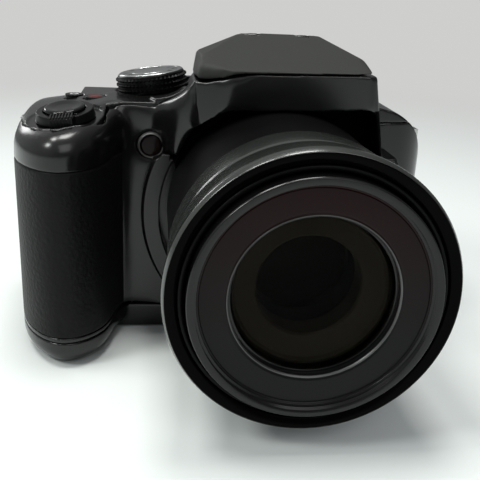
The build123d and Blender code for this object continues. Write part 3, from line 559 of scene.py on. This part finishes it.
def printed(name, marks, material, body):
    """Thin printed marks: each has its text, its place and its directions to the right and up."""
    mesh = bmesh.new()
    for text, place, rightward, upward, height in marks:
        words = bpy.data.curves.new(name, "FONT")
        words.body = text
        words.size = height * MM
        words.align_x = "CENTER"
        words.align_y = "CENTER"
        words.extrude = INK_THICKNESS
        carrier = bpy.data.objects.new(name, words)
        scene.collection.objects.link(carrier)
        flat = bpy.data.meshes.new_from_object(carrier.evaluated_get(bpy.context.evaluated_depsgraph_get()))
        bpy.data.objects.remove(carrier)
        side, rise = Vector(rightward).normalized(), Vector(upward).normalized()
        turn = Matrix((side, rise, side.cross(rise))).transposed().to_4x4()
        flat.transform(Matrix.Translation(Vector(place) * MM) @ turn)
        mesh.from_mesh(flat)
        bpy.data.meshes.remove(flat)
    piece = bpy.data.objects.new(name, bpy.data.meshes.new(name))
    mesh.to_mesh(piece.data)
    mesh.free()
    scene.collection.objects.link(piece)
    return added(piece, material, body)


def plain(name, colour, roughness, metallic=0.0, specular=0.3, coat=0.0, grain=0.0004, depth=0.000002):
    """A small piece's finish, with a little change of gloss."""
    return grained(name, colour, roughness, grain, depth, 0.08, metallic, specular, coat)


DIAL = Vector((-37.6, -2.0, 75.0))
DIAL_UP = Vector((-0.136, 0, 1)).normalized()
DIAL_RIGHT = Vector((1, 0, 0.136)).normalized()
DIAL_BACK = DIAL_UP.cross(DIAL_RIGHT)
knob_black = plain("knob_black", (0.003, 0.003, 0.003), 0.28, specular=0.16)
spun_silver = plain("spun_silver", (0.52, 0.53, 0.54), 0.22, metallic=1.0, depth=0.000006)
ink_black = plain("ink_black", (0.01, 0.01, 0.01), 0.5)
ink_white = plain("ink_white", (0.72, 0.72, 0.72), 0.5)
dial_base = lathed("mode_dial_base", [
    (10.6, -2.85), (10.6, 2.3), (10.2, 2.75), (0, 2.75), (0, -8.4), (3.0, -8.4), (3.0, -2.85)],
    DIAL, DIAL_UP, rounding=0.2, steps=96)
dress(dial_base, knob_black, "mode_dial", "barrel", "mode_dial")
toothed("mode_dial_knurl", knob_black, "mode_dial", DIAL - DIAL_UP * 1.75, DIAL_UP,
        {"Teeth": 50, "Rows": 3, "Radius": 10.5 * MM, "Row step": 1.55 * MM, "Tooth width": 0.74 * MM,
         "Tooth depth": 0.78 * MM, "Tooth top": 0.25 * MM})
dial_cap = lathed("mode_dial_top", [
    (10.2, 2.7), (10.2, 2.85), (9.9, 3.05), (9.2, 3.05), (9.1, 2.95), (6.1, 2.95), (6.0, 3.05), (0, 3.05),
    (0, 2.7)], DIAL, DIAL_UP, rounding=0.06, steps=96)
dress(dial_cap, spun_silver, "mode_dial", "silver", "mode_dial_cap")
DIAL_NUMBERS, NUMBER_LEVEL, NUMBER_RADIUS, NUMBER_HEIGHT = 10, 2.96, 7.7, 2.6
dial_marks = []
for number in range(DIAL_NUMBERS):
    angle = 2 * pi * number / DIAL_NUMBERS
    out = DIAL_RIGHT * cos(angle) + DIAL_BACK * sin(angle)
    spot = DIAL + DIAL_UP * NUMBER_LEVEL + NUMBER_RADIUS * out
    dial_marks.append((str(number), spot, out.cross(DIAL_UP), -out, NUMBER_HEIGHT))
printed("mode_dial_numbers", dial_marks, ink_black, "mode_dial")
smooth_copy("zoom_lever", knob_black, "zoom_lever", "barrel", voxel=0.16, passes=2, limit=40000)
SHUTTER = Vector((-61.0, -34.5, 68.2))
SHUTTER_UP = Vector((-0.1, -0.15, 1)).normalized()
SHUTTER_RIGHT = Vector((1, 0, 0.1)).normalized()
SHUTTER_BACK = SHUTTER_UP.cross(SHUTTER_RIGHT)
button_gloss = plain("button_gloss", (0.003, 0.003, 0.003), 0.10, specular=0.3)
shutter_outline = [(5.6, 2.7), (5.6, 3.3), (5.3, 3.65), (4.8, 3.8), (4.2, 3.72), (2.5, 3.4), (0, 3.25),
                   (0, -2.5), (2.4, -2.5), (2.4, 2.7)]
dress(lathed("shutter_dish", shutter_outline, SHUTTER, SHUTTER_UP, rounding=0.2, steps=96), button_gloss,
      "shutter_button", "gloss", "shutter_button")


def ribs_tree():
    """Geometry Nodes: a straight row of equal ribs."""
    tree, start, end = socket_group(
        "row_of_ribs",
        [("Ribs", COUNT, 8), ("Step", VECTOR, (0.001, 0, 0)), ("Size", VECTOR, (0.001, 0.001, 0.001)),
         ("Material", MATERIAL, None)],
        [("Geometry", GEOMETRY)],
        "GeometryNodeTree",
    )
    nodes, links = tree.nodes, tree.links
    row = nodes.new("GeometryNodeMeshLine")
    links.new(start.outputs["Ribs"], row.inputs["Count"])
    links.new(start.outputs["Step"], row.inputs["Offset"])
    rib = nodes.new("GeometryNodeMeshCube")
    links.new(start.outputs["Size"], rib.inputs["Size"])
    ribs = nodes.new("GeometryNodeInstanceOnPoints")
    links.new(row.outputs["Mesh"], ribs.inputs["Points"])
    links.new(rib.outputs["Mesh"], ribs.inputs["Instance"])
    real = nodes.new("GeometryNodeRealizeInstances")
    links.new(ribs.outputs["Instances"], real.inputs["Geometry"])
    coat = nodes.new("GeometryNodeSetMaterial")
    links.new(real.outputs["Geometry"], coat.inputs["Geometry"])
    links.new(start.outputs["Material"], coat.inputs["Material"])
    links.new(coat.outputs["Geometry"], end.inputs["Geometry"])
    return tree


RIBS = ribs_tree()


def ribbed(name, material, body, first, rightward, backward, count, step, size):
    """A row of ribs, from its first rib's centre on, in a piece's own directions."""
    side, back = Vector(rightward).normalized(), Vector(backward).normalized()
    turn = Matrix((side, back, side.cross(back))).transposed().to_4x4()
    values = {"Ribs": count, "Step": [part * MM for part in step], "Size": [part * MM for part in size],
              "Material": material}
    row = repeated(name, RIBS, values, Matrix.Translation(Vector(first) * MM) @ turn)
    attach(row, body)
    return row


# The lever's tab has ribs on its top and down its front.
LEVER_RIBS, LEVER_RIB_STEP = 8, (0.8, 0, 0)
tab_top = SHUTTER + SHUTTER_UP * 3.3 - SHUTTER_BACK * 8.3 - SHUTTER_RIGHT * 2.8
ribbed("zoom_lever_ribs", knob_black, "zoom_lever", tab_top, SHUTTER_RIGHT, SHUTTER_BACK,
       LEVER_RIBS, LEVER_RIB_STEP, (0.40, 3.6, 0.9))
tab_front = SHUTTER + SHUTTER_UP * 2.0 - SHUTTER_BACK * 10.2 - SHUTTER_RIGHT * 2.8
ribbed("zoom_lever_front_ribs", knob_black, "zoom_lever", tab_front, SHUTTER_RIGHT, SHUTTER_BACK,
       LEVER_RIBS, LEVER_RIB_STEP, (0.40, 0.7, 3.2))
smooth_copy("movie_button", knob_black, "movie_button", "gloss", passes=6)
record_red = plain("record_red", (0.16, 0.008, 0.010), 0.4)
red_dot = lathed("movie_button_dot", [(1.9, 71.40), (1.9, 71.56), (1.5, 71.56), (1.5, 71.50), (1.3, 71.50),
                                      (1.3, 71.56), (0, 71.56), (0, 71.40)],
                 (-54.6, -15.0, 0), UP, rounding=0.02, steps=48)
added(red_dot, record_red, "movie_button")
smooth_copy("burst_button", knob_black, "burst_button", "gloss", passes=6)
burst_mark = lathed("burst_button_ring", [(1.3, 70.80), (1.3, 70.94), (1.0, 70.94), (1.0, 70.80)],
                    (-61.5, -8.0, 0), UP, rounding=0.02, steps=48)
added(burst_mark, ink_white, "burst_button")
smooth_copy("power_switch", knob_black, "power_switch", "gloss", passes=5)
ribbed("power_switch_ribs", knob_black, "power_switch", (-26.6, 5.3, 75.45), (1, 0, 0), (0, 1, 0),
       4, (0.93, 0, 0), (0.35, 2.6, 0.28))

# Focus lamp and strap lugs: a dark lens pressed in beside the lens collar, with a grey rim, and two
# steel lugs that are riveted in the sides.
LAMP_MIDDLE = (-37.5, 0, 59.5)
lamp_dark = plain("lamp_dark", (0.006, 0.002, 0.002), 0.10, specular=0.12)
lamp_piece = lathed("lamp_dome", [(3.15, 25.2), (3.15, 27.7), (2.7, 27.95), (0, 28.0), (0, 25.2)],
                    LAMP_MIDDLE, LENS_OUT, rounding=0.15, steps=64)
dress(lamp_piece, lamp_dark, "body", "clear", "lamp_lens")
lamp_rim = lathed("lamp_rim", [
    (3.25, 26.5), (4.0, 26.5), (4.0, 27.7), (3.8, 28.3), (3.5, 28.6), (3.25, 28.3)],
    LAMP_MIDDLE, LENS_OUT, rounding=0.25, steps=64)
added(lamp_rim, plain("lamp_grey", (0.05, 0.05, 0.048), 0.25), "body")
steel = plain("steel", (0.55, 0.55, 0.54), 0.25, metallic=1.0)
smooth_copy("strap_lugs", steel, "body", "steel", voxel=0.12)

# Rear and side controls: round moulded buttons, a ribbed dial and a cursor pad, clipped in the rear
# cover, with printed generic marks.
for name in ("finder", "lock", "playback", "display", "menu", "set"):
    smooth_copy(name + "_button", knob_black, name + "_button", "gloss", passes=5, limit=16000)
smooth_copy("cursor_pad", knob_black, "cursor_pad", "gloss", passes=4)
smooth_copy("flash_button", knob_black, "flash_button", "gloss", passes=5)
smooth_copy("rear_dial", knob_black, "rear_dial", "barrel", passes=4)
toothed("rear_dial_ribs", knob_black, "rear_dial", (-58, 7.2, 58.95), UP,
        {"Teeth": 44, "Rows": 1, "Radius": 8.35 * MM, "Row step": 0.0, "Tooth width": 0.42 * MM,
         "Tooth depth": 0.3 * MM, "Tooth top": 0.2 * MM, "Stretch": 3.2})
smooth_copy("diopter_dial", knob_black, "diopter_dial", "gloss", passes=3)
toothed("diopter_ribs", knob_black, "diopter_dial", (23.1, 8.5, 75.5), (1, 0, 0),
        {"Teeth": 28, "Rows": 1, "Radius": 4.25 * MM, "Row step": 0.0, "Tooth width": 0.34 * MM,
         "Tooth depth": 0.3 * MM, "Tooth top": 0.16 * MM, "Stretch": 2.2})
PAD_X, PAD_FACE_Y, PAD_Z, ARROW_RADIUS, ARROW_HEIGHT = -50, 15.09, 30, 6.1, 2.2
pad_marks = []
for quarter in range(4):
    angle = pi / 2 * quarter
    spot = (PAD_X + ARROW_RADIUS * cos(angle), PAD_FACE_Y, PAD_Z + ARROW_RADIUS * sin(angle))
    pad_marks.append((">", spot, (cos(angle), 0, sin(angle)), (sin(angle), 0, -cos(angle)), ARROW_HEIGHT))
printed("cursor_arrows", pad_marks, ink_white, "cursor_pad")

# Screen: a panel under a hard window, glued in the rear cover. It is switched off, so both look like
# one dark glossy sheet.
screen_dark = plain("screen_dark", (0.006, 0.007, 0.009), 0.10, specular=0.5)
smooth_copy("screen_panel", screen_dark, "body", "screen", voxel=0.35, passes=2, limit=40000)
smooth_copy("screen_window", screen_dark, "body", "screen", voxel=0.35, passes=1, limit=40000)

# Doors, screws and tripod socket: the battery door in the bottom and the socket door on the grip's
# side are moulded like the shells and hang on pins. The screws and the tripod socket are steel.
smooth_copy("battery_door", shell_plastic, "battery_door", "shell", voxel=0.25, limit=40000)
smooth_copy("socket_door", shell_plastic, "socket_door", "shell", voxel=0.25, limit=40000)
smooth_copy("door_latch", knob_black, "door_latch", "gloss", passes=3)
dark_steel = plain("dark_steel", (0.05, 0.05, 0.05), 0.3, metallic=1.0)
TRIPOD_TURNS, TRIPOD_PITCH, TRIPOD_CREST, TRIPOD_DEEP = 4, 1.25, 3.18, 3.55
tripod_outline = [(5.5, 0.15), (5.35, 0.0), (3.5, 0.0)]
for turn in range(TRIPOD_TURNS):
    tripod_outline.append((TRIPOD_CREST, 0.5 + TRIPOD_PITCH * turn))
    tripod_outline.append((TRIPOD_DEEP, 1.1 + TRIPOD_PITCH * turn))
tripod_outline += [(TRIPOD_CREST, 5.45), (0, 5.5), (0, 6.5), (5.5, 6.5)]
tripod_thread = lathed("tripod_thread", tripod_outline, (0, 0, 0), UP, rounding=0.08, steps=72)
dress(tripod_thread, steel, "body", "steel", "tripod_socket")
smooth_copy("bottom_screws", dark_steel, "body", "steel", voxel=0.1, passes=3)
SCREW_FACE_Z, CROSS_HEIGHT = 0.32, 4.0
screw_crosses = []
for x, y in ((42, 4), (40, -16), (-36, 8), (-30, -20)):
    screw_crosses.append(("+", (x, y, SCREW_FACE_Z), (1, 0, 0), (0, -1, 0), CROSS_HEIGHT))
printed("screw_crosses", screw_crosses, ink_black, "body")

# Inner pieces keep their CAD shapes: the glass groups, iris, sensor, motor, boards, battery and card,
# which are screwed or clipped inside, each with its own finish.


def finish_node(node, material):
    """Gives a carried-over CAD node its finish."""
    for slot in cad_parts[node].material_slots:
        slot.material = material


inner_black = plain("inner_black", (0.008, 0.008, 0.008), 0.6, specular=0.15)
board_green = plain("board_green", (0.01, 0.07, 0.03), 0.4, grain=0.0012, depth=0.00001)
pale_label = plain("pale_label", (0.35, 0.36, 0.38), 0.45)
inner_glass = glass("inner_glass", (0.80, 0.86, 0.9))
for node in ("lens_base", "iris_unit", "battery_box", "microphones", "finder_unit"):
    finish_node(node, inner_black)
for node in ("door_pins", "flash_pin"):
    finish_node(node, dark_steel)
# The second glass group is drawn opaque and near black, as painted shade for the dark inside of the lens.
finish_node("second_group", plain("second_group_painted_shade", (0.001, 0.001, 0.001), 0.4, specular=0.03))
finish_node("main_board", board_green)
finish_node("image_sensor", plain("sensor_blue", (0.02, 0.03, 0.06), 0.12, specular=0.5))
finish_node("zoom_motor", steel)
finish_node("battery", pale_label)
finish_node("memory_card", plain("card_blue", (0.02, 0.04, 0.12), 0.4))
finish_node("flash_capacitor", plain("capacitor_sleeve", (0.02, 0.02, 0.03), 0.3))
finish_node("side_sockets", dark_steel)
finish_node("focus_group", inner_glass)
finish_node("flash_window", glass("flash_clear", (0.95, 0.96, 0.95), 0.15))
finish_node("flash_tube", glass("tube_clear", (0.96, 0.97, 0.96), 0.02))
finish_node("eyepiece_lens", inner_glass)

# Camera, floor and light. The viewpoint is the photograph's own: a hand-held camera a quarter metre
# away, looking down at the lens. The floor is a plain pale table, and the light is a soft room.
VIEW_PLACE = Vector((-35.6, -236.8, 107.9)) * MM
VIEW_YAW, VIEW_PITCH, VIEW_ROLL = radians(7.06), radians(20.33), radians(2.8)
VIEW_LENS_MM, VIEW_SENSOR_MM, VIEW_NEAR = 53.6, 36, 0.01

view = bpy.data.objects.new("view", bpy.data.cameras.new("view"))
scene.collection.objects.link(view)
forward = Vector((sin(VIEW_YAW) * cos(VIEW_PITCH), cos(VIEW_YAW) * cos(VIEW_PITCH), -sin(VIEW_PITCH)))
level = Vector((cos(VIEW_YAW), -sin(VIEW_YAW), 0))
upward = level.cross(forward)
right = cos(VIEW_ROLL) * level + sin(VIEW_ROLL) * upward
top = -sin(VIEW_ROLL) * level + cos(VIEW_ROLL) * upward
turn = Matrix((right, top, -forward)).transposed()
view.matrix_world = Matrix.Translation(VIEW_PLACE) @ turn.to_4x4()
view.data.lens = VIEW_LENS_MM
view.data.sensor_width = VIEW_SENSOR_MM
view.data.clip_start = VIEW_NEAR
scene.camera = view
scene.view_settings.view_transform = "Standard"

FLOOR_REACH, FLOOR_Z, FADE_START, FADE_END = 12, -0.0004, 0.12, 0.60
floor_mesh = bmesh.new()
bmesh.ops.create_grid(floor_mesh, x_segments=2, y_segments=2, size=FLOOR_REACH)
floor_data = bpy.data.meshes.new("floor")
floor_mesh.to_mesh(floor_data)
floor_mesh.free()
floor_data.transform(Matrix.Translation((0, 0, FLOOR_Z)))
floor = bpy.data.objects.new("floor", floor_data)
scene.collection.objects.link(floor)
pale = bpy.data.materials.new("pale_table")
pale.use_nodes = True
nodes, links = pale.node_tree.nodes, pale.node_tree.links
cloth = nodes["Principled BSDF"]
cloth.inputs["Base Color"].default_value = (0.80, 0.84, 0.82, 1)
cloth.inputs["Roughness"].default_value = 0.6
table = nodes.new("ShaderNodeTexCoord")
far = nodes.new("ShaderNodeVectorMath")
far.operation = "LENGTH"
links.new(table.outputs["Object"], far.inputs[0])
fade = nodes.new("ShaderNodeMapRange")
fade.interpolation_type = "SMOOTHSTEP"
fade.inputs["From Min"].default_value = FADE_START
fade.inputs["From Max"].default_value = FADE_END
links.new(far.outputs["Value"], fade.inputs["Value"])
eye = nodes.new("ShaderNodeLightPath")
wall_share = math_node(pale.node_tree, "MULTIPLY", fade.outputs["Result"], eye.outputs["Is Camera Ray"])
wall = nodes.new("ShaderNodeEmission")
wall.inputs["Color"].default_value = (0.62, 0.62, 0.61, 1)
blend = nodes.new("ShaderNodeMixShader")
links.new(wall_share, blend.inputs["Fac"])
links.new(cloth.outputs["BSDF"], blend.inputs[1])
links.new(wall.outputs["Emission"], blend.inputs[2])
links.new(blend.outputs["Shader"], nodes["Material Output"].inputs["Surface"])
floor.data.materials.append(pale)

room = bpy.data.worlds.new("room")
room.use_nodes = True
scene.world = room
nodes, links = room.node_tree.nodes, room.node_tree.links
backdrop = nodes["Background"]
backdrop.inputs["Strength"].default_value = 1.0
direction = nodes.new("ShaderNodeTexCoord")
height = nodes.new("ShaderNodeSeparateXYZ")
links.new(direction.outputs["Object"], height.inputs[0])
# The room is brighter above and to the left, where its window is.
TO_THE_WINDOW = -0.7
lit_side = math_node(room.node_tree, "MULTIPLY_ADD", height.outputs["X"], TO_THE_WINDOW, height.outputs["Z"])
ceiling = nodes.new("ShaderNodeMapRange")
ceiling.interpolation_type = "SMOOTHSTEP"
ceiling.inputs["From Min"].default_value = -0.1
ceiling.inputs["From Max"].default_value = 1.0
links.new(lit_side, ceiling.inputs["Value"])
walls = nodes.new("ShaderNodeMix")
walls.data_type = "RGBA"
walls.inputs["A"].default_value = (0.16, 0.16, 0.16, 1)
walls.inputs["B"].default_value = (0.50, 0.52, 0.51, 1)
links.new(ceiling.outputs["Result"], walls.inputs["Factor"])
links.new(walls.outputs["Result"], backdrop.inputs["Color"])
dimmer = nodes.new("ShaderNodeBackground")
dimmer.inputs["Color"].default_value = (0.9, 0.94, 1.0, 1)
dimmer.inputs["Strength"].default_value = 0.3
paths = nodes.new("ShaderNodeLightPath")
seen = math_node(
    room.node_tree, "MAXIMUM", paths.outputs["Is Camera Ray"], paths.outputs["Is Transmission Ray"])
shown = math_node(room.node_tree, "MAXIMUM", seen, paths.outputs["Is Glossy Ray"])
pick = nodes.new("ShaderNodeMixShader")
links.new(shown, pick.inputs["Fac"])
links.new(dimmer.outputs[0], pick.inputs[1])
links.new(backdrop.outputs[0], pick.inputs[2])
links.new(pick.outputs[0], nodes["World Output"].inputs["Surface"])


def lamp(name, place, aim, size, power, colour=(1, 1, 1)):
    """A soft square lamp at a place, aimed at a point."""
    data = bpy.data.lights.new(name, "AREA")
    data.size = size
    data.energy = power
    data.color = colour
    light = bpy.data.objects.new(name, data)
    scene.collection.objects.link(light)
    light.location = place
    light.rotation_euler = (Vector(aim) - Vector(place)).to_track_quat("-Z", "Y").to_euler()
    return light


CAMERA_MIDDLE = (0, 0, 0.04)
lamp("overhead", (0.0, 0.02, 0.8), CAMERA_MIDDLE, 0.22, 2.8, (1.0, 1.0, 0.97))
lamp("overhead_left", (-0.30, -0.05, 0.78), CAMERA_MIDDLE, 0.2, 2.6, (1.0, 1.0, 0.97))
lamp("left_window", (-0.60, -0.30, 0.62), CAMERA_MIDDLE, 0.2, 2.6, (0.96, 1.0, 0.97))
lamp("right_fill", (0.3, -0.8, 0.7), (0, 0, 0.05), 0.6, 2.0)
# This one stands for the pale wall behind: it is seen in glossy surfaces and adds no light of its own.
bright_wall = lamp("bright_wall", (-0.52, 0.60, 0.36), (0, -0.05, 0.05), 0.22, 1.1)
bright_wall.visible_diffuse = False
